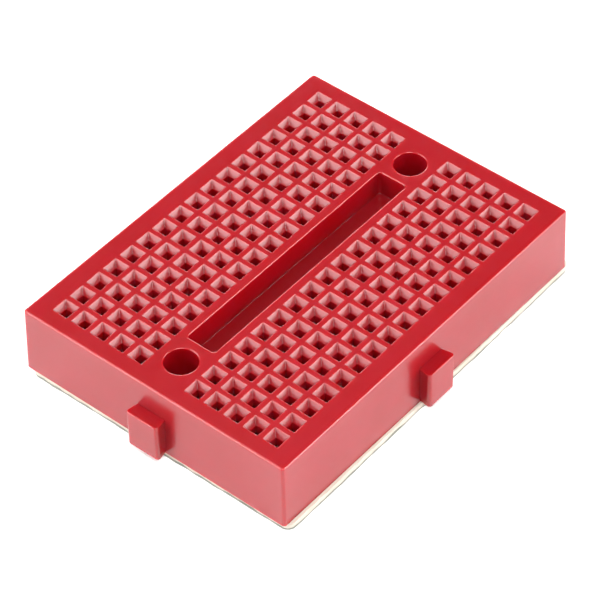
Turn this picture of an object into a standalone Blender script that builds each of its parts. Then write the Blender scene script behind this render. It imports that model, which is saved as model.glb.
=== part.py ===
"""Solderless breadboard with 17 columns of tie points in two banks of five rows.

Frame: metres, +Z up.  +X runs along the 17 columns and +Y across the ten rows.  The origin is the
middle of the underside, on the plane that the board stands on.
"""

import math

import bmesh
import bpy
from mathutils import Matrix, Vector

MM = 0.001

# Tie-point grid.
PITCH = 2.54 * MM
COLUMNS = 17
ROWS_PER_BANK = 5
BANK_OFFSET = 3.5 * PITCH  # board middle to the middle row of a bank

# Stack heights, from the surface that the board stands on upwards.
LINER_THICKNESS = 0.10 * MM
FOAM_THICKNESS = 0.65 * MM
FIT_GAP = 0.10 * MM  # clearance between pieces that lie on each other
HOUSING_HEIGHT = 8.25 * MM
FOAM_BOTTOM = LINER_THICKNESS + FIT_GAP
HOUSING_BOTTOM = FOAM_BOTTOM + FOAM_THICKNESS + FIT_GAP
HOUSING_TOP = HOUSING_BOTTOM + HOUSING_HEIGHT
HOUSING_MIDDLE = (HOUSING_BOTTOM + HOUSING_TOP) / 2

# Housing block: the walls flare slightly from the top face to the underside.
TOP_LENGTH = 46.5 * MM
TOP_WIDTH = 34.5 * MM
WALL_FLARE = 0.17 * MM  # each side
CORNER_RADIUS = 0.5 * MM
CORNER_SEGMENTS = 3
TOP_EDGE_RADIUS = 0.2 * MM
TOP_EDGE_SEGMENTS = 2

# Tie point: a square funnel, a short square shaft, and the slot below that holds the clip.
FUNNEL_MOUTH = 1.96 * MM
SHAFT_WIDTH = 0.94 * MM
FUNNEL_DEPTH = 0.73 * MM
SLOT_ROOF_DEPTH = 1.75 * MM
SLOT_WIDTH = 1.9 * MM
SLOT_END_MARGIN = 1.1 * MM  # past the middle of the outermost tie point

# Centre trench and the two mounting holes on its axis.
TRENCH_LENGTH = 31.1 * MM
TRENCH_WIDTH = 3.65 * MM
TRENCH_DEPTH = 3.0 * MM
TRENCH_CORNER_RADIUS = 0.4 * MM
MOUNT_HOLE_SPACING = 37.0 * MM
MOUNT_HOLE_DIAMETER = 3.6 * MM
MOUNT_HOLE_SIDES = 32

# Dovetail tabs on the -X and -Y walls, and the matching sockets in the +X and +Y walls.
TAB_HEAD_WIDTH = 4.26 * MM
TAB_ROOT_WIDTH = 3.7 * MM
TAB_REACH = 1.45 * MM
TAB_FOOT_HEIGHT = 0.2 * MM  # above the underside of the block
TAB_HEIGHT = 4.9 * MM
TAB_EDGE_RADIUS = 0.35 * MM
SOCKET_CLEARANCE = 0.1 * MM
TAB_WALLS = (Vector((-1, 0, 0)), Vector((0, -1, 0)))
SOCKET_WALLS = (Vector((1, 0, 0)), Vector((0, 1, 0)))

# Contact clip: a channel with five pairs of spring fingers.
CLIP_SIDE_GAP = 0.1 * MM
CLIP_TOP_GAP = 0.1 * MM
CLIP_SHEET = 0.2 * MM
CHANNEL_HEIGHT = 1.5 * MM
FINGER_ROOT_WIDTH = 1.9 * MM
FINGER_PINCH_WIDTH = 1.3 * MM
FINGER_TIP_WIDTH = 0.9 * MM
PINCH_HEIGHT = 5.0 * MM
PINCH_HALF_GAP = 0.08 * MM
TIP_HALF_GAP = 0.42 * MM

# Foam pad and release liner, cut together and stuck on slightly off square.
PAD_LENGTH = 46.9 * MM
PAD_WIDTH = 34.8 * MM
PAD_CORNER_RADIUS = 1.0 * MM
PAD_CORNER_SEGMENTS = 4
PAD_SHIFT = (0.4 * MM, -0.25 * MM)
PAD_TURN = math.radians(0.4)

# How far a cutter runs past the face that it opens, and a joined piece into its neighbour.
OVERRUN = 0.2 * MM
WELD_OVERLAP = 0.6 * MM

SMOOTH_ANGLE = math.radians(30.0)


def clear_scene():
    for item in list(bpy.data.objects):
        bpy.data.objects.remove(item, do_unlink=True)


def make_material(name, colour, roughness, metallic=0.0):
    material = bpy.data.materials.new(name)
    material.use_nodes = True
    shader = material.node_tree.nodes["Principled BSDF"]
    shader.inputs["Base Color"].default_value = (*colour, 1.0)
    shader.inputs["Roughness"].default_value = roughness
    shader.inputs["Metallic"].default_value = metallic
    return material


def add_object(name, mesh, material=None):
    item = bpy.data.objects.new(name, mesh)
    if material is not None and not mesh.materials:
        mesh.materials.append(material)
    bpy.context.scene.collection.objects.link(item)
    return item


def finish_mesh(name, shape):
    bmesh.ops.recalc_face_normals(shape, faces=shape.faces)
    mesh = bpy.data.meshes.new(name)
    shape.to_mesh(mesh)
    shape.free()
    mesh.shade_smooth()
    mesh.set_sharp_from_angle(angle=SMOOTH_ANGLE)
    return mesh


def add_block(shape, low, high):
    """Adds a box between two corners and returns its vertices."""
    low = Vector(low)
    high = Vector(high)
    made = bmesh.ops.create_cube(shape, size=1.0)
    bmesh.ops.scale(shape, vec=high - low, verts=made["verts"])
    bmesh.ops.translate(shape, vec=(low + high) / 2, verts=made["verts"])
    return made["verts"]


def edges_between(verts):
    """Edges whose two ends are both in verts."""
    chosen = set(verts)
    edges = {edge for vert in chosen for edge in vert.link_edges}
    return [edge for edge in edges if chosen.issuperset(edge.verts)]


def upright_edges(verts):
    """Edges among verts that run mostly along Z."""
    return [
        edge
        for edge in edges_between(verts)
        if abs((edge.verts[0].co - edge.verts[1].co).normalized().z) > 0.9
    ]


def round_edges(shape, edges, radius, segments):
    bmesh.ops.bevel(
        shape,
        geom=edges,
        offset=radius,
        segments=segments,
        profile=0.5,
        affect="EDGES",
        clamp_overlap=True,
    )


def add_square_stack(shape, middle, levels):
    """Adds a closed solid of square sections, given as (half width, height) from the bottom up."""
    rings = []
    for half, height in levels:
        corners = ((-half, -half), (half, -half), (half, half), (-half, half))
        rings.append([shape.verts.new((middle[0] + x, middle[1] + y, height)) for x, y in corners])
    for lower, upper in zip(rings, rings[1:]):
        for side in range(4):
            following = (side + 1) % 4
            shape.faces.new((lower[side], lower[following], upper[following], upper[side]))
    shape.faces.new(reversed(rings[0]))
    shape.faces.new(rings[-1])


def add_dovetail(shape, root, direction, root_width, head_width, reach, overrun, low, high):
    """Adds an upright dovetail prism that widens from root along direction.

    overrun carries the prism behind root at its root width.  Returns its vertices.
    """
    across = Vector((-direction.y, direction.x, 0.0))
    outline = (
        (-root_width / 2, -overrun),
        (root_width / 2, -overrun),
        (root_width / 2, 0.0),
        (head_width / 2, reach),
        (-head_width / 2, reach),
        (-root_width / 2, 0.0),
    )
    base = []
    for sideways, along in outline:
        place = root + across * sideways + direction * along
        base.append(shape.verts.new((place.x, place.y, low)))
    lifted = bmesh.ops.extrude_face_region(shape, geom=[shape.faces.new(base)], use_keep_orig=True)
    raised = [item for item in lifted["geom"] if isinstance(item, bmesh.types.BMVert)]
    bmesh.ops.translate(shape, vec=(0.0, 0.0, high - low), verts=raised)
    return base + raised


def wall_foot(outward):
    """The point at the foot of the wall that faces outward, in the middle of its length."""
    return Vector((
        outward.x * (TOP_LENGTH / 2 + WALL_FLARE),
        outward.y * (TOP_WIDTH / 2 + WALL_FLARE),
        0.0,
    ))


def column_positions():
    middle = (COLUMNS - 1) / 2
    return [(column - middle) * PITCH for column in range(COLUMNS)]


def row_positions(bank_sign):
    middle = (ROWS_PER_BANK - 1) / 2
    return [bank_sign * BANK_OFFSET + (row - middle) * PITCH for row in range(ROWS_PER_BANK)]


def housing_block():
    """The drafted outer block with rounded upright edges and a rounded top edge."""
    shape = bmesh.new()
    half_length = TOP_LENGTH / 2
    half_width = TOP_WIDTH / 2
    low = (-half_length, -half_width, HOUSING_BOTTOM)
    high = (half_length, half_width, HOUSING_TOP)
    verts = add_block(shape, low, high)
    for vert in verts:
        if vert.co.z < HOUSING_MIDDLE:
            vert.co.x += math.copysign(WALL_FLARE, vert.co.x)
            vert.co.y += math.copysign(WALL_FLARE, vert.co.y)
    round_edges(shape, upright_edges(verts), CORNER_RADIUS, CORNER_SEGMENTS)
    rim = edges_between([vert for vert in shape.verts if vert.co.z > HOUSING_MIDDLE])
    round_edges(shape, rim, TOP_EDGE_RADIUS, TOP_EDGE_SEGMENTS)
    return finish_mesh("housing", shape)


def clip_slot_cutter():
    """One long slot for each clip, open at the underside."""
    shape = bmesh.new()
    roof = HOUSING_TOP - SLOT_ROOF_DEPTH
    for bank_sign in (-1, 1):
        rows = row_positions(bank_sign)
        for x in column_positions():
            low = (x - SLOT_WIDTH / 2, min(rows) - SLOT_END_MARGIN, HOUSING_BOTTOM - OVERRUN)
            high = (x + SLOT_WIDTH / 2, max(rows) + SLOT_END_MARGIN, roof)
            add_block(shape, low, high)
    return finish_mesh("clip_slot_cutter", shape)


def tie_point_cutter():
    """A funnel and a shaft for each tie point, from above the top face into the clip slot."""
    shape = bmesh.new()
    slope = (FUNNEL_MOUTH - SHAFT_WIDTH) / 2 / FUNNEL_DEPTH
    throat = HOUSING_TOP - FUNNEL_DEPTH
    levels = [
        (SHAFT_WIDTH / 2, HOUSING_TOP - SLOT_ROOF_DEPTH - OVERRUN),
        (SHAFT_WIDTH / 2, throat),
        (FUNNEL_MOUTH / 2 + slope * OVERRUN, HOUSING_TOP + OVERRUN),
    ]
    for bank_sign in (-1, 1):
        for y in row_positions(bank_sign):
            for x in column_positions():
                add_square_stack(shape, (x, y), levels)
    return finish_mesh("tie_point_cutter", shape)


def recess_cutter():
    """The trench, the two mounting holes and the two dovetail sockets."""
    shape = bmesh.new()
    low = (-TRENCH_LENGTH / 2, -TRENCH_WIDTH / 2, HOUSING_TOP - TRENCH_DEPTH)
    high = (TRENCH_LENGTH / 2, TRENCH_WIDTH / 2, HOUSING_TOP + OVERRUN)
    trench = add_block(shape, low, high)
    round_edges(shape, upright_edges(trench), TRENCH_CORNER_RADIUS, CORNER_SEGMENTS)
    for side in (-1, 1):
        middle = Vector((side * MOUNT_HOLE_SPACING / 2, 0.0, HOUSING_MIDDLE))
        bmesh.ops.create_cone(
            shape,
            cap_ends=True,
            segments=MOUNT_HOLE_SIDES,
            radius1=MOUNT_HOLE_DIAMETER / 2,
            radius2=MOUNT_HOLE_DIAMETER / 2,
            depth=HOUSING_HEIGHT + 2 * OVERRUN,
            matrix=Matrix.Translation(middle),
        )
    for outward in SOCKET_WALLS:
        add_dovetail(
            shape,
            root=wall_foot(outward),
            direction=-outward,
            root_width=TAB_ROOT_WIDTH + 2 * SOCKET_CLEARANCE,
            head_width=TAB_HEAD_WIDTH + 2 * SOCKET_CLEARANCE,
            reach=TAB_REACH + SOCKET_CLEARANCE,
            overrun=OVERRUN,
            low=HOUSING_BOTTOM - OVERRUN,
            high=HOUSING_BOTTOM + TAB_HEIGHT + SOCKET_CLEARANCE,
        )
    return finish_mesh("recess_cutter", shape)


def tab_pair():
    """The two dovetail tabs, whose roots run into the housing's walls."""
    shape = bmesh.new()
    for outward in TAB_WALLS:
        root = wall_foot(outward)
        verts = add_dovetail(
            shape,
            root=root,
            direction=outward,
            root_width=TAB_ROOT_WIDTH,
            head_width=TAB_HEAD_WIDTH,
            reach=TAB_REACH,
            overrun=WELD_OVERLAP,
            low=HOUSING_BOTTOM + TAB_FOOT_HEIGHT,
            high=HOUSING_BOTTOM + TAB_HEIGHT,
        )
        head = [vert for vert in verts if (vert.co - root).dot(outward) > TAB_REACH / 2]
        round_edges(shape, upright_edges(head), TAB_EDGE_RADIUS, CORNER_SEGMENTS)
    return finish_mesh("tab_pair", shape)


def make_housing(material):
    housing = add_object("housing", housing_block(), material)
    steps = (
        (clip_slot_cutter(), "DIFFERENCE"),
        (tie_point_cutter(), "DIFFERENCE"),
        (recess_cutter(), "DIFFERENCE"),
        (tab_pair(), "UNION"),
    )
    for mesh, operation in steps:
        tool = add_object(mesh.name, mesh)
        tool.hide_render = True
        tool.display_type = "WIRE"
        tool.parent = housing
        cut = housing.modifiers.new(mesh.name, "BOOLEAN")
        cut.operation = operation
        cut.solver = "EXACT"
        cut.object = tool
    return housing


def clip_mesh():
    """One contact clip: a channel with fingers that lean in, pinch and flare at their tips.

    The clip's own frame has its middle at x = y = 0 and its underside at z = 0.
    """
    outer = SLOT_WIDTH / 2 - CLIP_SIDE_GAP
    inner = outer - CLIP_SHEET
    half_length = (ROWS_PER_BANK - 1) / 2 * PITCH + SLOT_END_MARGIN - CLIP_SIDE_GAP
    height = HOUSING_HEIGHT - SLOT_ROOF_DEPTH - FIT_GAP - CLIP_TOP_GAP

    # Stations along the clip: its two ends, and both edges of each finger.
    row_middle = (ROWS_PER_BANK - 1) / 2
    stations = [-half_length]
    for row in range(ROWS_PER_BANK):
        finger_middle = (row - row_middle) * PITCH
        stations += [finger_middle - FINGER_ROOT_WIDTH / 2, finger_middle + FINGER_ROOT_WIDTH / 2]
    stations.append(half_length)

    shape = bmesh.new()
    ends = (-half_length, half_length)
    walls = {}
    for side in (-1, 1):
        walls[side] = {
            "outer": [shape.verts.new((side * outer, y, CHANNEL_HEIGHT)) for y in stations],
            "inner": [shape.verts.new((side * inner, y, CHANNEL_HEIGHT)) for y in stations],
            "outer_foot": [shape.verts.new((side * outer, y, 0.0)) for y in ends],
            "inner_foot": [shape.verts.new((side * inner, y, CLIP_SHEET)) for y in ends],
        }
    finger_faces = []
    for side, wall in walls.items():
        shape.faces.new(wall["outer"] + wall["outer_foot"][::-1])
        shape.faces.new(wall["inner"] + wall["inner_foot"][::-1])
        for step in range(len(stations) - 1):
            outer_rim = wall["outer"][step:step + 2]
            inner_rim = wall["inner"][step:step + 2]
            face = shape.faces.new(outer_rim + inner_rim[::-1])
            if step % 2 == 1:
                finger_faces.append((side, face))
    for foot in ("outer_foot", "inner_foot"):
        shape.faces.new(walls[-1][foot] + walls[1][foot][::-1])
    for end in (0, -1):
        outline = [walls[-1][row][end] for row in ("outer", "outer_foot")]
        outline += [walls[1][row][end] for row in ("outer_foot", "outer", "inner", "inner_foot")]
        outline += [walls[-1][row][end] for row in ("inner_foot", "inner")]
        shape.faces.new(outline)

    # Each finger grows from its stretch of the rim: in to the pinch, then out to the tip.
    stages = (
        (PINCH_HEIGHT, PINCH_HALF_GAP, FINGER_PINCH_WIDTH),
        (height, TIP_HALF_GAP, FINGER_TIP_WIDTH),
    )
    for side, face in finger_faces:
        finger_middle = face.calc_center_median().y
        for level, half_gap, width in stages:
            grown = bmesh.ops.extrude_face_region(shape, geom=[face])["geom"]
            bmesh.ops.delete(shape, geom=[face], context="FACES_ONLY")
            face = next(item for item in grown if isinstance(item, bmesh.types.BMFace))
            sheet_middle = abs(face.calc_center_median().x)
            for vert in face.verts:
                thickness = CLIP_SHEET if abs(vert.co.x) > sheet_middle else 0.0
                vert.co.x = side * (half_gap + thickness)
                vert.co.y = finger_middle + math.copysign(width / 2, vert.co.y - finger_middle)
                vert.co.z = level
    return finish_mesh("contact_clip", shape)


def make_clips(material):
    mesh = clip_mesh()
    for bank_name, bank_sign in (("ae", 1), ("fj", -1)):
        for number, x in enumerate(column_positions(), start=1):
            clip = add_object(f"contact_clip_{bank_name}_{number:02d}", mesh, material)
            clip.location = (x, bank_sign * BANK_OFFSET, HOUSING_BOTTOM + FIT_GAP)


def make_sheet(name, bottom, thickness, material):
    """A thin slab with rounded corners under the housing."""
    shape = bmesh.new()
    half_length = PAD_LENGTH / 2
    half_width = PAD_WIDTH / 2
    verts = add_block(shape, (-half_length, -half_width, 0.0), (half_length, half_width, thickness))
    round_edges(shape, upright_edges(verts), PAD_CORNER_RADIUS, PAD_CORNER_SEGMENTS)
    sheet = add_object(name, finish_mesh(name, shape), material)
    sheet.location = (PAD_SHIFT[0], PAD_SHIFT[1], bottom)
    sheet.rotation_euler = (0.0, 0.0, PAD_TURN)
    return sheet


def main():
    clear_scene()
    make_housing(make_material("red_plastic", (0.64, 0.03, 0.045), 0.35))
    make_clips(make_material("spring_metal", (0.72, 0.70, 0.66), 0.28, metallic=1.0))
    make_sheet("foam_pad", FOAM_BOTTOM, FOAM_THICKNESS, make_material("foam", (0.86, 0.84, 0.78), 0.9))
    make_sheet("release_liner", 0.0, LINER_THICKNESS, make_material("liner_paper", (0.88, 0.87, 0.82), 0.55))


main()
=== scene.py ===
"""Looks of the solderless breadboard: a finely moulded block, sprung clips, foam pad and paper liner."""
import math

import bmesh
import bpy
from mathutils import Matrix, Vector, noise


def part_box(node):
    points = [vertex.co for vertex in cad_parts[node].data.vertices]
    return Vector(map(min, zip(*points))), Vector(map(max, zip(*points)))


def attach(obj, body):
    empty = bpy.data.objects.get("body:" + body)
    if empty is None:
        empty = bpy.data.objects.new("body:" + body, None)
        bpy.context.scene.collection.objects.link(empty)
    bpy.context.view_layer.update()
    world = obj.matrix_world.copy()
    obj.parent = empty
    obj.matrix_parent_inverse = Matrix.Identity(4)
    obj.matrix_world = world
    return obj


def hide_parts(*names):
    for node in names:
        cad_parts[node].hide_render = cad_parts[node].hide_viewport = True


MM = 0.001

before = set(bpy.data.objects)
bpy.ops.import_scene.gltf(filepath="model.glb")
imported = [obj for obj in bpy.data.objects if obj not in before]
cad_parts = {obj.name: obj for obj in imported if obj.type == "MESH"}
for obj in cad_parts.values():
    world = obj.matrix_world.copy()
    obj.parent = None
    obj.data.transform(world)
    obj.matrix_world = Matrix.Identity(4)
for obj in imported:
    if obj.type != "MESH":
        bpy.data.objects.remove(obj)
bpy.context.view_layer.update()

# ---------------------------------------------------------------------------------------------
# Sizes, read from the frame where it has them.
# ---------------------------------------------------------------------------------------------
BANKS = ("ae", "fj")
COLUMNS = 17
ROWS_PER_BANK = 5

HOUSING_LOW, HOUSING_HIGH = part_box("housing")
BOTTOM = HOUSING_LOW.z
TOP = HOUSING_HIGH.z
BASE_HALF = Vector((HOUSING_HIGH.x, HOUSING_HIGH.y))  # the +X and +Y walls carry no tab
TAB_REACH = -HOUSING_LOW.x - BASE_HALF.x
WALL_FLARE = 0.17 * MM  # the mould's draft: each wall leans out by this much towards the underside

CORNER_RADIUS = 0.38 * MM
TOP_EDGE_RADIUS = 0.22 * MM
BOTTOM_EDGE_RADIUS = 0.08 * MM

FUNNEL_HALF = 0.98 * MM
SHAFT_HALF = 0.47 * MM
FUNNEL_DEPTH = 0.73 * MM
SLOT_ROOF_DEPTH = 1.75 * MM
SLOT_CLEARANCE = 0.1 * MM  # round a clip
SLOT_CORNER_RADIUS = 0.15 * MM
RIM_RADIUS = 0.07 * MM
THROAT_RADIUS = 0.1 * MM
FUNNEL_CORNER_RADIUS = 0.1 * MM
FUNNEL_CORNER_POINTS = 4

TRENCH_HALF = Vector((15.55 * MM, 1.825 * MM))
TRENCH_DEPTH = 3.0 * MM
TRENCH_CORNER_RADIUS = 0.4 * MM
TRENCH_DRAFT = 0.06 * MM
TRENCH_FLOOR_RADIUS = 0.1 * MM
MOUNT_HOLE_X = 18.5 * MM
MOUNT_HOLE_RADIUS = 1.8 * MM
MOUNT_HOLE_POINTS = 64
RECESS_RIM_RADIUS = 0.14 * MM  # round the trench and the holes
RECESS_RIM_STEPS = 5

TAB_HEAD_HALF = 2.13 * MM
TAB_ROOT_HALF = 1.85 * MM
TAB_FOOT_HEIGHT = 0.2 * MM  # above the underside of the block
TAB_HEIGHT = 4.9 * MM
TAB_CORNER_RADIUS = 0.38 * MM
TAB_LIP_RADIUS = 0.13 * MM
TAB_WALLS = (Vector((-1, 0)), Vector((0, -1)))
SOCKET_CLEARANCE = 0.1 * MM
WELD = 0.6 * MM  # how far a tab's tool reaches into its wall
OVERRUN = 0.3 * MM  # how far a socket's tool reaches out of the block
MITRE_LIMIT = 0.5  # keeps a sharp corner from running away when an outline is shrunk

CLIP_SHEET = 0.2 * MM
CLIP_FOLD_RADIUS = 0.3 * MM
CHANNEL_HEIGHT = 1.5 * MM
PINCH_HEIGHT = 5.0 * MM
PINCH_HALF_GAP = 0.08 * MM
TIP_HALF_GAP = 0.42 * MM
FINGER_ROOT_HALF = 0.95 * MM
FINGER_PINCH_HALF = 0.65 * MM
FINGER_TIP_HALF = 0.45 * MM
FINGER_LEAN_STEPS = 9
FINGER_FLARE_STEPS = 6
FINGER_FLARE_POWER = 1.6  # above 1, the finger bends out more and more towards its tip
FINGER_TIP_TAPER = 0.8
CLIP_EDGE_RADIUS = 0.03 * MM
CLIP_EDGE_ANGLE = math.radians(50.0)

PAD_TURN = math.radians(0.4)
PAD_CORNER_RADIUS = 0.9 * MM
PAD_SPREAD = Vector((0.12 * MM, -0.06 * MM))  # how far the cut edge strays from the frame's pad
WANDER_STRETCH = 3  # bumps of the cut edge are this many times as long as its point spacing

FOAM_RISE = 0.095 * MM  # closes the frame's 0.1 mm gap under the block, all but a hair
FOAM_LEVELS = (
    (0.0, 0.1 * MM), (0.12, 0.03 * MM), (0.3, 0.0), (0.5, 0.02 * MM), (0.75, 0.0), (1.0, 0.01 * MM),
)
FOAM_ROUGHNESS = 0.12 * MM
FOAM_SPACING = 0.35 * MM
FOAM_SEED = 3.0
LINER_LEVELS = ((0.0, 0.0), (1.0, 0.0))
LINER_ROUGHNESS = 0.1 * MM
LINER_SPACING = 0.5 * MM
LINER_SEED = 11.0

SHARP_ANGLE = math.radians(38.0)


def clip_name(bank, column):
    return f"contact_clip_{bank}_{column + 1:02d}"


def middle_of(node):
    low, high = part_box(node)
    return (low + high) / 2


PITCH = middle_of(clip_name("ae", 1)).x - middle_of(clip_name("ae", 0)).x
COLUMN_X = [middle_of(clip_name("ae", column)).x for column in range(COLUMNS)]
BANK_Y = {bank: middle_of(clip_name(bank, 0)).y for bank in BANKS}


def row_positions(bank):
    middle = (ROWS_PER_BANK - 1) / 2
    return [BANK_Y[bank] + (row - middle) * PITCH for row in range(ROWS_PER_BANK)]


# ---------------------------------------------------------------------------------------------
# Mesh helpers.
# ---------------------------------------------------------------------------------------------
def rounded_outline(half_x, half_y, radius, corner_points):
    """Points of a rounded rectangle, counter-clockwise from the (+, +) corner."""
    points = []
    for quarter, (sign_x, sign_y) in enumerate(((1, 1), (-1, 1), (-1, -1), (1, -1))):
        centre = Vector((sign_x * (half_x - radius), sign_y * (half_y - radius)))
        for step in range(corner_points):
            angle = math.pi / 2 * (quarter + step / (corner_points - 1))
            points.append(centre + radius * Vector((math.cos(angle), math.sin(angle))))
    return points


def circle_outline(radius, count):
    turns = [2 * math.pi * step / count for step in range(count)]
    return [radius * Vector((math.cos(turn), math.sin(turn))) for turn in turns]


def add_ring(shape, outline, centre, z):
    return [shape.verts.new((centre[0] + point.x, centre[1] + point.y, z)) for point in outline]


def bridge(shape, rings):
    for lower, upper in zip(rings, rings[1:]):
        for index in range(len(lower)):
            following = (index + 1) % len(lower)
            shape.faces.new((lower[index], lower[following], upper[following], upper[index]))


def loop_edges(shape, ring):
    edges = []
    for index, vert in enumerate(ring):
        following = ring[(index + 1) % len(ring)]
        edges.append(shape.edges.get((vert, following)) or shape.edges.new((vert, following)))
    return edges


def fill_between(shape, loops, normal=(0, 0, 1)):
    """Fills the flat region that the loops bound, with the inner loops left as holes."""
    edges = [edge for loop in loops for edge in loop_edges(shape, loop)]
    bmesh.ops.triangle_fill(shape, use_beauty=True, use_dissolve=False, edges=edges, normal=normal)


def lip_profile(tilt, radius, steps):
    """A rounded lip between a level face and a wall that leans tilt from upright.

    Returns (inset from the sharp lip, drop below the face) pairs, from the face to the wall.
    """
    start = radius * (math.tan(tilt) * (1 - math.sin(tilt)) - math.cos(tilt))
    profile = []
    for step in range(steps + 1):
        angle = math.pi / 2 + (tilt - math.pi / 2) * step / steps
        profile.append((start + radius * math.cos(angle), radius * (1 - math.sin(angle))))
    return profile


def edge_profile(radius, steps):
    """(inset, drop) pairs round a square outer edge, from the level face to the upright one."""
    turns = [math.pi / 2 * (1 - step / steps) for step in range(steps + 1)]
    return [(radius * (1 - math.cos(turn)), radius * (1 - math.sin(turn))) for turn in turns]


def to_object(name, shape):
    bmesh.ops.recalc_face_normals(shape, faces=shape.faces)
    mesh = bpy.data.meshes.new(name)
    shape.to_mesh(mesh)
    shape.free()
    piece = bpy.data.objects.new(name, mesh)
    bpy.context.scene.collection.objects.link(piece)
    return piece


def apply_modifiers(piece):
    graph = bpy.context.evaluated_depsgraph_get()
    graph.update()
    mesh = bpy.data.meshes.new_from_object(piece.evaluated_get(graph))
    piece.modifiers.clear()
    piece.data = mesh


def shade(piece):
    """Smooth shading that keeps creases, with the large flat faces ruling the normals."""
    piece.data.shade_smooth()
    piece.data.set_sharp_from_angle(angle=SHARP_ANGLE)
    weighting = piece.modifiers.new("weighted normals", "WEIGHTED_NORMAL")
    weighting.mode = "FACE_AREA"
    weighting.weight = 100
    weighting.keep_sharp = True


# ---------------------------------------------------------------------------------------------
# Housing.
# ---------------------------------------------------------------------------------------------
def funnel_rings():
    """(half width, corner radius, drop below the top face) from the rim down to the slot's roof."""
    tilt = math.atan((FUNNEL_HALF - SHAFT_HALF) / FUNNEL_DEPTH)
    rings = []
    for inset, drop in lip_profile(tilt, RIM_RADIUS, 4):
        rings.append((FUNNEL_HALF - inset, FUNNEL_CORNER_RADIUS, drop))
    turn_length = THROAT_RADIUS * math.tan(tilt / 2)
    for step in range(4):
        angle = tilt * (1 - step / 3)
        inset = THROAT_RADIUS * (1 - math.cos(angle))
        drop = FUNNEL_DEPTH + turn_length - THROAT_RADIUS * math.sin(angle)
        rings.append((SHAFT_HALF + inset, FUNNEL_CORNER_RADIUS, drop))
    rings.append((SHAFT_HALF, FUNNEL_CORNER_RADIUS, SLOT_ROOF_DEPTH))
    return rings


def add_tie_point(shape, centre):
    """Adds one funnel and shaft, and returns its rim ring and its ring in the slot's roof."""
    rings = []
    for half, radius, drop in funnel_rings():
        outline = rounded_outline(half, half, radius, FUNNEL_CORNER_POINTS)
        rings.append(add_ring(shape, outline, centre, TOP - drop))
    bridge(shape, rings)
    return rings[0], rings[-1]


def add_cell_face(shape, corners, rim):
    """Fills the top face between a cell's four corners and the rim in its middle."""
    for side in range(4):
        arc = rim[side * FUNNEL_CORNER_POINTS:(side + 1) * FUNNEL_CORNER_POINTS]
        for first, second in zip(arc, arc[1:]):
            shape.faces.new((corners[side], first, second))
        following = (side + 1) % 4
        opposite = rim[following * FUNNEL_CORNER_POINTS]
        shape.faces.new((corners[side], arc[-1], opposite, corners[following]))


def add_bank(shape, bank):
    """Adds a bank's tie points and slots; returns its top border and its slots' lower rings."""
    rows = row_positions(bank)
    grid = [
        [
            shape.verts.new((COLUMN_X[0] + (column - 0.5) * PITCH, rows[0] + (row - 0.5) * PITCH, TOP))
            for row in range(ROWS_PER_BANK + 1)
        ]
        for column in range(COLUMNS + 1)
    ]
    lower_rings = []
    for column, x in enumerate(COLUMN_X):
        shaft_rings = []
        for row, y in enumerate(rows):
            rim, shaft = add_tie_point(shape, (x, y))
            corners = (
                grid[column + 1][row + 1], grid[column][row + 1], grid[column][row], grid[column + 1][row],
            )
            add_cell_face(shape, corners, rim)
            shaft_rings.append(shaft)
        low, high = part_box(clip_name(bank, column))
        slot_outline = rounded_outline(
            (high.x - low.x) / 2 + SLOT_CLEARANCE, (high.y - low.y) / 2 + SLOT_CLEARANCE,
            SLOT_CORNER_RADIUS, 3,
        )
        centre = ((low.x + high.x) / 2, (low.y + high.y) / 2)
        roof = add_ring(shape, slot_outline, centre, TOP - SLOT_ROOF_DEPTH)
        mouth = add_ring(shape, slot_outline, centre, BOTTOM)
        fill_between(shape, [roof] + shaft_rings, normal=(0, 0, -1))
        bridge(shape, [mouth, roof])
        lower_rings.append(mouth)
    border = [grid[column][0] for column in range(COLUMNS + 1)]
    border += [grid[COLUMNS][row] for row in range(1, ROWS_PER_BANK + 1)]
    border += [grid[column][ROWS_PER_BANK] for column in range(COLUMNS - 1, -1, -1)]
    border += [grid[0][row] for row in range(ROWS_PER_BANK - 1, 0, -1)]
    return border, lower_rings


def add_trench(shape):
    """Adds the trench and returns its rim."""
    rings = []
    for inset, drop in lip_profile(0.0, RECESS_RIM_RADIUS, RECESS_RIM_STEPS):
        outline = rounded_outline(
            TRENCH_HALF.x - inset, TRENCH_HALF.y - inset, TRENCH_CORNER_RADIUS - inset, 8)
        rings.append(add_ring(shape, outline, (0, 0), TOP - drop))
    for step in range(5):
        angle = math.pi / 2 * step / 4
        inset = TRENCH_DRAFT + TRENCH_FLOOR_RADIUS * (1 - math.cos(angle))
        drop = TRENCH_DEPTH - TRENCH_FLOOR_RADIUS * (1 - math.sin(angle))
        outline = rounded_outline(
            TRENCH_HALF.x - inset, TRENCH_HALF.y - inset, TRENCH_CORNER_RADIUS - inset, 8)
        rings.append(add_ring(shape, outline, (0, 0), TOP - drop))
    bridge(shape, rings)
    shape.faces.new(rings[-1])
    return rings[0]


def add_mount_hole(shape, side):
    """Adds a through hole and returns its rims in the top face and in the underside."""
    rings = []
    centre = (side * MOUNT_HOLE_X, 0.0)
    for inset, drop in lip_profile(0.0, RECESS_RIM_RADIUS, RECESS_RIM_STEPS):
        outline = circle_outline(MOUNT_HOLE_RADIUS - inset, MOUNT_HOLE_POINTS)
        rings.append(add_ring(shape, outline, centre, TOP - drop))
    outline = circle_outline(MOUNT_HOLE_RADIUS, MOUNT_HOLE_POINTS)
    rings.append(add_ring(shape, outline, centre, BOTTOM))
    bridge(shape, rings)
    return rings[0], rings[-1]


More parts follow.
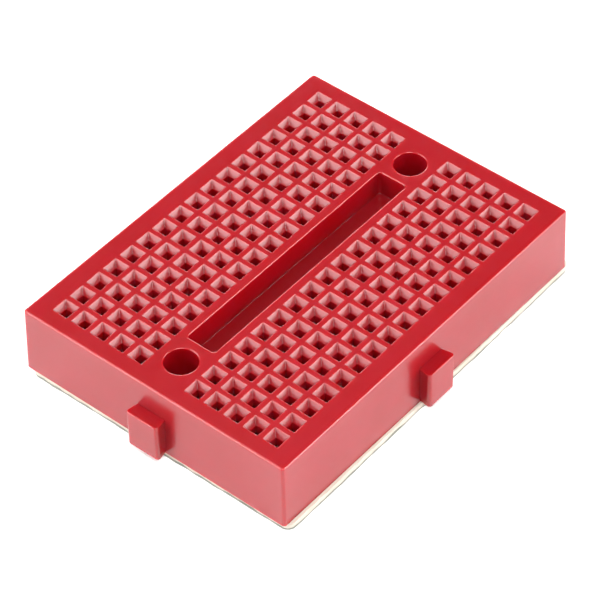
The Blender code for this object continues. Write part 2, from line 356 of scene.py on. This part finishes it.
def add_walls(shape):
    """Adds the outer walls with rounded top and bottom edges; returns the top and bottom rings."""
    def outline_at(inset, drop):
        flare = WALL_FLARE * drop / (TOP - BOTTOM)
        half = BASE_HALF - Vector((WALL_FLARE, WALL_FLARE)) + Vector((flare - inset, flare - inset))
        return rounded_outline(half.x, half.y, CORNER_RADIUS - inset, 9)

    rings = []
    for inset, drop in edge_profile(TOP_EDGE_RADIUS, 6):
        rings.append(add_ring(shape, outline_at(inset, drop), (0, 0), TOP - drop))
    for inset, rise in reversed(edge_profile(BOTTOM_EDGE_RADIUS, 3)):
        drop = TOP - BOTTOM - rise
        rings.append(add_ring(shape, outline_at(inset, drop), (0, 0), TOP - drop))
    bridge(shape, rings)
    return rings[0], rings[-1]


def wall_frame(outward):
    """(foot of a wall's middle, direction across the wall) for the wall that faces outward."""
    return Vector((outward.x * BASE_HALF.x, outward.y * BASE_HALF.y)), Vector((-outward.y, outward.x))


def arc_points(corner, towards_first, towards_second, radius, steps):
    """A rounded corner between two straight sides that leave it in the given directions."""
    half_turn = math.acos(max(-1.0, min(1.0, towards_first.dot(towards_second)))) / 2
    middle = (towards_first + towards_second).normalized()
    centre = corner + middle * radius / math.sin(half_turn)
    start = corner + towards_first * radius / math.tan(half_turn) - centre
    end = corner + towards_second * radius / math.tan(half_turn) - centre
    sweep = start.angle_signed(end)
    return [centre + Matrix.Rotation(-sweep * step / steps, 2) @ start for step in range(steps + 1)]


def dovetail_outline(root_half, head_half, reach, overrun, corner_radius):
    """Points (across the wall, out of the wall) round a dovetail that stands on y = 0."""
    corner = Vector((head_half, reach))
    flank = (Vector((root_half, 0.0)) - corner).normalized()
    right = [Vector((root_half, -overrun)), Vector((root_half, 0.0))]
    if corner_radius:
        right += arc_points(corner, flank, Vector((-1.0, 0.0)), corner_radius, 6)
    else:
        right.append(corner)
    return right + [Vector((-point.x, point.y)) for point in reversed(right)]


def shrunk(outline, distance):
    """The outline moved inwards by distance; it runs counter-clockwise."""
    moved = []
    for index, point in enumerate(outline):
        before = (point - outline[index - 1]).normalized()
        after = (outline[(index + 1) % len(outline)] - point).normalized()
        side = Vector((-before.y, before.x))
        inwards = Vector((-before.y - after.y, before.x + after.x)).normalized()
        moved.append(point + inwards * distance / max(MITRE_LIMIT, side.dot(inwards)))
    return moved


def add_wall_prism(shape, outward, direction, outline, levels):
    """Adds an upright prism on a wall: levels are (height, inset of the outline) pairs."""
    foot, across = wall_frame(outward)
    rings = []
    for z, inset in levels:
        places = [foot + across * point.x + direction * point.y for point in shrunk(outline, inset)]
        rings.append([shape.verts.new((place.x, place.y, z)) for place in places])
    bridge(shape, rings)
    shape.faces.new(rings[0])
    shape.faces.new(rings[-1])


def tabs():
    shape = bmesh.new()
    outline = dovetail_outline(TAB_ROOT_HALF, TAB_HEAD_HALF, TAB_REACH, WELD, TAB_CORNER_RADIUS)
    top = BOTTOM + TAB_HEIGHT
    lips = edge_profile(TAB_LIP_RADIUS, 4)
    levels = [(BOTTOM + TAB_FOOT_HEIGHT + drop, inset) for inset, drop in lips]
    levels += [(top - drop, inset) for inset, drop in reversed(lips)]
    for outward in TAB_WALLS:
        add_wall_prism(shape, outward, outward, outline, levels)
    return to_object("tab_tool", shape)


def sockets():
    shape = bmesh.new()
    outline = dovetail_outline(
        TAB_ROOT_HALF + SOCKET_CLEARANCE, TAB_HEAD_HALF + SOCKET_CLEARANCE,
        TAB_REACH + SOCKET_CLEARANCE, OVERRUN, 0.0,
    )
    levels = ((BOTTOM - OVERRUN, 0.0), (BOTTOM + TAB_HEIGHT + SOCKET_CLEARANCE, 0.0))
    for outward in TAB_WALLS:
        add_wall_prism(shape, -outward, outward, outline, levels)
    return to_object("socket_tool", shape)


def make_housing():
    shape = bmesh.new()
    top_loops = []
    bottom_loops = []
    for bank in BANKS:
        border, slot_mouths = add_bank(shape, bank)
        top_loops.append(border)
        bottom_loops += slot_mouths
    top_loops.append(add_trench(shape))
    for side in (-1, 1):
        upper, lower = add_mount_hole(shape, side)
        top_loops.append(upper)
        bottom_loops.append(lower)
    upper, lower = add_walls(shape)
    fill_between(shape, [upper] + top_loops)
    fill_between(shape, [lower] + bottom_loops, normal=(0, 0, -1))
    housing = to_object("breadboard_housing", shape)
    for tool, operation in ((sockets(), "DIFFERENCE"), (tabs(), "UNION")):
        cut = housing.modifiers.new(tool.name, "BOOLEAN")
        cut.operation = operation
        cut.solver = "EXACT"
        cut.object = tool
        apply_modifiers(housing)
        bpy.data.objects.remove(tool)
    shade(housing)
    return housing


# ---------------------------------------------------------------------------------------------
# Contact clips.
# ---------------------------------------------------------------------------------------------
def ease(share):
    return share * share * (3 - 2 * share)


def finger_stations(half_x, height):
    """(distance from the clip's middle plane, height, half width) up one finger's sheet middle."""
    pinch_x = PINCH_HALF_GAP + CLIP_SHEET / 2
    tip_x = TIP_HALF_GAP + CLIP_SHEET / 2
    stations = []
    for step in range(1, FINGER_LEAN_STEPS + 1):
        share = step / FINGER_LEAN_STEPS
        x = half_x + (pinch_x - half_x) * ease(share)
        z = CHANNEL_HEIGHT + (PINCH_HEIGHT - CHANNEL_HEIGHT) * share
        width = FINGER_ROOT_HALF + (FINGER_PINCH_HALF - FINGER_ROOT_HALF) * ease(share)
        stations.append((x, z, width))
    for step in range(1, FINGER_FLARE_STEPS + 1):
        share = step / FINGER_FLARE_STEPS
        x = pinch_x + (tip_x - pinch_x) * share ** FINGER_FLARE_POWER
        z = PINCH_HEIGHT + (height - PINCH_HEIGHT) * share
        width = FINGER_PINCH_HALF + (FINGER_TIP_HALF - FINGER_PINCH_HALF) * share
        if step == FINGER_FLARE_STEPS:
            width *= FINGER_TIP_TAPER
        stations.append((x, z, width))
    return stations


def channel_profile(half_x):
    """(x, height) points across the channel's sheet middle, from its +X rim to its -X rim."""
    side = [(half_x, CHANNEL_HEIGHT), (half_x, (CHANNEL_HEIGHT + CLIP_FOLD_RADIUS) / 2)]
    for step in range(6):
        angle = math.pi / 2 * step / 5
        side.append((
            half_x - CLIP_FOLD_RADIUS * (1 - math.cos(angle)),
            CLIP_SHEET / 2 + CLIP_FOLD_RADIUS * (1 - math.sin(angle)),
        ))
    return side + [(-x, z) for x, z in reversed(side)]


def add_channel(shape, half_x, half_y):
    """Adds the folded channel, and returns its two rims: three verts of a rim root each finger."""
    along = [-half_y]
    for row in range(ROWS_PER_BANK):
        middle = (row - (ROWS_PER_BANK - 1) / 2) * PITCH
        along += [middle - FINGER_ROOT_HALF, middle, middle + FINGER_ROOT_HALF]
    along.append(half_y)
    rows = [[shape.verts.new((x, y, z)) for y in along] for x, z in channel_profile(half_x)]
    for lower, upper in zip(rows, rows[1:]):
        for index in range(len(along) - 1):
            shape.faces.new((lower[index], lower[index + 1], upper[index + 1], upper[index]))
    return rows[0], rows[-1]


def add_finger(shape, root, side, stations):
    """Adds one finger on the three verts of its root; side is 1 for the +X rim, -1 for the -X rim."""
    previous = root
    middle = root[1].co.y
    for x, z, width in stations:
        current = [shape.verts.new((side * x, middle + share * width, z)) for share in (-1, 0, 1)]
        for index in range(2):
            shape.faces.new((
                previous[index], previous[index + 1], current[index + 1], current[index],
            ))
        previous = current


def thicken(clip):
    """Gives the bent sheet its thickness and takes the sharpness off its edges."""
    sheet = clip.modifiers.new("sheet", "SOLIDIFY")
    sheet.thickness = CLIP_SHEET
    sheet.offset = 0.0
    sheet.use_even_offset = True
    edge = clip.modifiers.new("edge", "BEVEL")
    edge.width = CLIP_EDGE_RADIUS
    edge.segments = 2
    edge.limit_method = "ANGLE"
    edge.angle_limit = CLIP_EDGE_ANGLE
    apply_modifiers(clip)


def clip_mesh():
    """One clip about its own middle, standing on z = 0: a folded channel with five finger pairs."""
    low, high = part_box(clip_name("ae", 0))
    half_x = (high.x - low.x) / 2 - CLIP_SHEET / 2
    half_y = (high.y - low.y) / 2
    shape = bmesh.new()
    right_rim, left_rim = add_channel(shape, half_x, half_y)
    stations = finger_stations(half_x, high.z - low.z)
    for side, rim in ((1, right_rim), (-1, left_rim)):
        for row in range(ROWS_PER_BANK):
            add_finger(shape, rim[1 + 3 * row:4 + 3 * row], side, stations)
    clip = to_object("clip_form", shape)
    thicken(clip)
    mesh = clip.data
    bpy.data.objects.remove(clip)
    mesh.shade_smooth()
    mesh.set_sharp_from_angle(angle=SHARP_ANGLE)
    return mesh


def make_clips(material):
    mesh = clip_mesh()
    mesh.materials.clear()
    mesh.materials.append(material)
    for bank in BANKS:
        for column in range(COLUMNS):
            node = clip_name(bank, column)
            low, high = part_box(node)
            clip = bpy.data.objects.new(node.replace("contact", "spring"), mesh)
            bpy.context.scene.collection.objects.link(clip)
            clip.location = ((low.x + high.x) / 2, (low.y + high.y) / 2, low.z)
            finish_piece(clip, "board", "clip_metal", node)


# ---------------------------------------------------------------------------------------------
# Foam pad and release liner.
# ---------------------------------------------------------------------------------------------
def turned_extent(node):
    """Middle and half sizes of a pad node, along its own sides."""
    turn = Matrix.Rotation(-PAD_TURN, 3, "Z")
    points = [turn @ vert.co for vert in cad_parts[node].data.vertices]
    low = Vector(min(point[axis] for point in points) for axis in range(3))
    high = Vector(max(point[axis] for point in points) for axis in range(3))
    middle = Matrix.Rotation(PAD_TURN, 3, "Z") @ ((low + high) / 2)
    return middle, (high - low) / 2


def perimeter(half_x, half_y, radius, spacing):
    """Points of a rounded rectangle about spacing apart, for a cut edge that wanders."""
    corners = rounded_outline(half_x, half_y, radius, 7)
    points = []
    for index, corner in enumerate(corners):
        following = corners[(index + 1) % len(corners)]
        count = max(1, round((following - corner).length / spacing))
        points += [corner.lerp(following, step / count) for step in range(count)]
    return points


def wander(point, z, scale, seed):
    """Smooth noise, from about -1 to 1, whose bumps are about scale long."""
    place = Vector((point.x / scale, point.y / scale, z / scale + seed))
    return noise.noise(place)


def make_slab(name, node, bottom, top, levels, roughness, spacing, seed):
    """A thin slab with a cut edge: levels are (share of height, inset) pairs up the edge."""
    middle, half = turned_extent(node)
    outline = perimeter(half.x + PAD_SPREAD.x, half.y + PAD_SPREAD.y, PAD_CORNER_RADIUS, spacing)
    shape = bmesh.new()
    rings = []
    for share, inset in levels:
        z = bottom + (top - bottom) * share
        ring = []
        for point in outline:
            outward = point.normalized()
            shift = roughness * wander(point, z, spacing * WANDER_STRETCH, seed) - inset
            moved = point + outward * shift
            ring.append(shape.verts.new((moved.x, moved.y, z)))
        rings.append(ring)
    bridge(shape, rings)
    fill_between(shape, [rings[0]], normal=(0, 0, -1))
    fill_between(shape, [rings[-1]])
    slab = to_object(name, shape)
    turn = Matrix.Translation((middle.x, middle.y, 0.0)) @ Matrix.Rotation(PAD_TURN, 4, "Z")
    slab.data.transform(turn)
    shade(slab)
    return slab


def make_foam():
    low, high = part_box("foam_pad")
    return make_slab(
        "foam_layer", "foam_pad", low.z, high.z + FOAM_RISE,
        FOAM_LEVELS, FOAM_ROUGHNESS, FOAM_SPACING, FOAM_SEED,
    )


def make_liner():
    low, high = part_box("release_liner")
    return make_slab(
        "liner_paper", "release_liner", low.z, high.z,
        LINER_LEVELS, LINER_ROUGHNESS, LINER_SPACING, LINER_SEED,
    )


# ---------------------------------------------------------------------------------------------
# Materials.
# ---------------------------------------------------------------------------------------------
NOISE_LOW = 0.3
NOISE_HIGH = 0.7


def start_material(name):
    material = bpy.data.materials.new(name)
    material.use_nodes = True
    tree = material.node_tree
    return material, tree, tree.nodes["Principled BSDF"]


def add_noise(tree, scale, detail=4.0, roughness=0.55, stretch=(1, 1, 1)):
    place = tree.nodes.new("ShaderNodeTexCoord")
    mapping = tree.nodes.new("ShaderNodeMapping")
    mapping.inputs["Scale"].default_value = stretch
    texture = tree.nodes.new("ShaderNodeTexNoise")
    texture.inputs["Scale"].default_value = scale
    texture.inputs["Detail"].default_value = detail
    texture.inputs["Roughness"].default_value = roughness
    tree.links.new(place.outputs["Object"], mapping.inputs["Vector"])
    tree.links.new(mapping.outputs["Vector"], texture.inputs["Vector"])
    return texture.outputs["Fac"]


def ramp(tree, source, stops):
    """Colours along a 0 to 1 source: stops are (position, (r, g, b)) pairs."""
    node = tree.nodes.new("ShaderNodeValToRGB")
    elements = node.color_ramp.elements
    while len(elements) < len(stops):
        elements.new(0.5)
    for element, (position, colour) in zip(elements, stops):
        element.position = position
        element.color = (*colour, 1.0)
    tree.links.new(source, node.inputs["Fac"])
    return node.outputs["Color"]


def map_range(tree, source, low, high):
    """Stretches the middle of a noise, where nearly all of it lies, over low to high."""
    node = tree.nodes.new("ShaderNodeMapRange")
    node.inputs["From Min"].default_value = NOISE_LOW
    node.inputs["From Max"].default_value = NOISE_HIGH
    node.inputs["To Min"].default_value = low
    node.inputs["To Max"].default_value = high
    tree.links.new(source, node.inputs["Value"])
    return node.outputs["Result"]


def add_bump(tree, source, shader, distance, strength):
    node = tree.nodes.new("ShaderNodeBump")
    node.inputs["Distance"].default_value = distance
    node.inputs["Strength"].default_value = strength
    tree.links.new(source, node.inputs["Height"])
    tree.links.new(node.outputs["Normal"], shader.inputs["Normal"])


def red_plastic():
    material, tree, shader = start_material("red_moulded_abs")
    broad = add_noise(tree, 180.0, detail=3.0)
    grain = add_noise(tree, 900.0, detail=3.0)
    colour = ramp(tree, broad, (
        (NOISE_LOW, (0.250, 0.001, 0.004)), (NOISE_HIGH, (0.268, 0.002, 0.007)),
    ))
    tree.links.new(colour, shader.inputs["Base Color"])
    tree.links.new(map_range(tree, grain, 0.215, 0.255), shader.inputs["Roughness"])
    shader.inputs["IOR"].default_value = 1.57
    shader.inputs["Subsurface Weight"].default_value = 1.0
    shader.inputs["Subsurface Radius"].default_value = (1.0, 0.05, 0.05)
    shader.inputs["Subsurface Scale"].default_value = 1.5 * MM
    return material


def spring_metal():
    material, tree, shader = start_material("plated_spring_bronze")
    drawn = add_noise(tree, 2500.0, detail=2.0, stretch=(6, 1, 1))
    colour = ramp(tree, drawn, ((NOISE_LOW, (0.70, 0.66, 0.58)), (NOISE_HIGH, (0.80, 0.77, 0.70))))
    tree.links.new(colour, shader.inputs["Base Color"])
    tree.links.new(map_range(tree, drawn, 0.18, 0.26), shader.inputs["Roughness"])
    shader.inputs["Metallic"].default_value = 1.0
    add_bump(tree, drawn, shader, 0.003 * MM, 0.2)
    return material


def foam_material():
    material, tree, shader = start_material("off_white_foam")
    cells = add_noise(tree, 4200.0, detail=4.0, roughness=0.7)
    broad = add_noise(tree, 220.0, detail=2.0)
    colour = ramp(tree, broad, ((0.35, (0.48, 0.42, 0.35)), (0.65, (0.52, 0.48, 0.42))))
    tree.links.new(colour, shader.inputs["Base Color"])
    tree.links.new(map_range(tree, cells, 0.85, 1.0), shader.inputs["Roughness"])
    shader.inputs["Specular IOR Level"].default_value = 0.2
    add_bump(tree, cells, shader, 0.05 * MM, 0.6)
    return material


def liner_shade_material():
    material, tree, shader = start_material("siliconised_paper_painted_shade")
    fibres = add_noise(tree, 1500.0, detail=5.0, roughness=0.65, stretch=(1, 2.5, 1))
    # Painted shade: the paper is given a dark grey so that its thin cut edge, just beyond the foam, draws
    # the shadow line along the foot of the pad.
    colour = ramp(tree, fibres, ((NOISE_LOW, (0.25, 0.26, 0.23)), (NOISE_HIGH, (0.33, 0.34, 0.30))))
    tree.links.new(colour, shader.inputs["Base Color"])
    tree.links.new(map_range(tree, fibres, 0.38, 0.52), shader.inputs["Roughness"])
    add_bump(tree, fibres, shader, 0.01 * MM, 0.3)
    return material


def floor_material():
    material, tree, shader = start_material("pale_floor")
    broad = add_noise(tree, 4.0, detail=2.0)
    colour = ramp(tree, broad, ((NOISE_LOW, (0.88, 0.88, 0.88)), (NOISE_HIGH, (0.90, 0.90, 0.90))))
    tree.links.new(colour, shader.inputs["Base Color"])
    shader.inputs["Roughness"].default_value = 0.8
    return material


def finish_piece(piece, body, slot, *nodes):
    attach(piece, body)
    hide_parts(*nodes)


def dress(piece, material):
    piece.data.materials.clear()
    piece.data.materials.append(material)


# ---------------------------------------------------------------------------------------------
# Stage: floor, lights and camera.
# ---------------------------------------------------------------------------------------------
FLOOR_HALF = 1.5
FLOOR_LIFT = 0.02 * MM  # keeps the floor out of the plane of the liner's underside
WORLD_STRENGTH = 0.03
TENT_RADIUS = 0.55  # distance of every panel from the object
PANEL_HALF_TURN = math.radians(22.5)
PANEL_HALF_RISE = math.radians(11.0)

# The camera is fitted to the tie points that the photo shows.
CAMERA_AIM = Vector((-4.238 * MM, -3.109 * MM, TOP))
CAMERA_DISTANCE = 316.84 * MM
CAMERA_AZIMUTH = math.radians(49.374)  # of the line of sight, from +Y towards +X
CAMERA_ELEVATION = math.radians(45.596)
CAMERA_ROLL = math.radians(-1.280)
CAMERA_LENS = 188.78
CAMERA_SENSOR = 36.0


def make_floor():
    shape = bmesh.new()
    bmesh.ops.create_grid(shape, x_segments=4, y_segments=4, size=FLOOR_HALF)
    floor = to_object("floor", shape)
    floor.location.z = FLOOR_LIFT
    dress(floor, floor_material())


def add_panel(name, azimuth, elevation, radiance, share=1.0):
    """A soft panel of the light tent. Its azimuth, in degrees, is counted from +Y towards +X.

    A share below 1 makes a smaller panel.
    """
    azimuth = math.radians(azimuth)
    elevation = math.radians(elevation)
    flat = math.cos(elevation)
    light = bpy.data.lights.new(name, "AREA")
    light.shape = "RECTANGLE"
    light.size = 2 * TENT_RADIUS * math.tan(PANEL_HALF_TURN) * flat * share
    light.size_y = 2 * TENT_RADIUS * math.tan(PANEL_HALF_RISE) * share
    light.energy = radiance * math.pi * light.size * light.size_y
    lamp = bpy.data.objects.new(name, light)
    bpy.context.scene.collection.objects.link(lamp)
    direction = Vector((flat * math.sin(azimuth), flat * math.cos(azimuth), math.sin(elevation)))
    lamp.location = direction * TENT_RADIUS
    lamp.rotation_euler = direction.to_track_quat("Z", "Y").to_euler()


def make_lights():
    """Panels fitted to the photo's shades, and two under the floor that light the underside."""
    add_panel("front_top", 225, 60, 18.5)
    add_panel("back_low", 45, 14, 9.7)
    add_panel("right_middle", 150, 33, 29.0, 0.5)
    add_panel("right_low", 135, 14, 7.8)
    add_panel("left_middle", 298, 34, 25.0, 0.5)
    add_panel("left_low", 315, 14, 6.5)
    add_panel("left_top", 0, 60, 6.0)
    add_panel("front_middle", 202.5, 36, 3.7)
    add_panel("far_left_middle", 337.5, 36, 3.6)
    add_panel("back_top", 45, 60, 0.4)
    add_panel("under_right", 90, -55, 6.0)
    add_panel("under_left", 270, -55, 4.0)
    world = bpy.data.worlds.new("studio")
    bpy.context.scene.world = world
    world.use_nodes = True
    background = world.node_tree.nodes["Background"]
    background.inputs["Color"].default_value = (1.0, 1.0, 1.0, 1.0)
    background.inputs["Strength"].default_value = WORLD_STRENGTH


def make_camera():
    data = bpy.data.cameras.new("camera")
    data.lens = CAMERA_LENS
    data.sensor_width = CAMERA_SENSOR
    data.clip_start = 0.01
    data.clip_end = 10.0
    camera = bpy.data.objects.new("camera", data)
    bpy.context.scene.collection.objects.link(camera)
    flat = math.cos(CAMERA_ELEVATION)
    sight = Vector((
        flat * math.sin(CAMERA_AZIMUTH), flat * math.cos(CAMERA_AZIMUTH), -math.sin(CAMERA_ELEVATION),
    ))
    camera.location = CAMERA_AIM - sight * CAMERA_DISTANCE
    turn = sight.to_track_quat("-Z", "Y").to_matrix() @ Matrix.Rotation(CAMERA_ROLL, 3, "Z")
    camera.rotation_euler = turn.to_euler()
    bpy.context.scene.camera = camera


def main():
    make_camera()
    housing = make_housing()
    dress(housing, red_plastic())
    finish_piece(housing, "board", "housing_plastic", "housing")
    make_clips(spring_metal())
    foam = make_foam()
    dress(foam, foam_material())
    finish_piece(foam, "board", "foam", "foam_pad")
    liner = make_liner()
    dress(liner, liner_shade_material())
    finish_piece(liner, "liner", "liner", "release_liner")
    make_floor()
    make_lights()
    bpy.context.scene.view_settings.view_transform = "Standard"


main()
